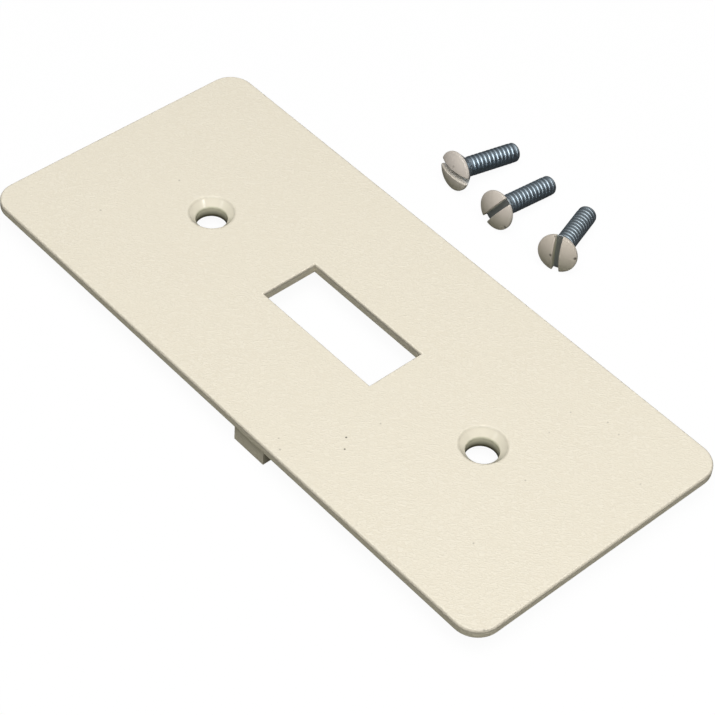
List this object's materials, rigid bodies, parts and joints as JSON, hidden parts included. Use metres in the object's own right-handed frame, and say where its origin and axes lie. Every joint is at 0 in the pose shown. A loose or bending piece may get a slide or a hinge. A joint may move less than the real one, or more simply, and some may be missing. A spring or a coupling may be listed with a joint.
{
  "type": "switch faceplate",
  "caption": "Flat painted steel cover plate for a toggle switch, with two dimpled and countersunk screw holes, locating lugs on its back and three loose oval-head screws.",
  "frame": {"origin": "middle of the screw-hole pair on the plate's back face", "axes": "+X along the plate's long side, +Z out of the painted front, +Y completes the right-handed set"},
  "size_m": [0.1084, 0.0742, 0.0065],
  "materials": {
    "ivory_plate_paint": "fine textured ivory enamel on steel sheet",
    "ivory_lug_paint": "ivory enamel on steel strip",
    "screw_steel": "zinc plated thread, ivory painted head"
  },
  "bodies": {
    "root": {"faceplate": "ivory_plate_paint", "near_locating_lug": "ivory_lug_paint", "far_locating_lug": "ivory_lug_paint", "cover_screw_1": "screw_steel", "cover_screw_2": "screw_steel", "cover_screw_3": "screw_steel"}
  },
  "joints": []
}
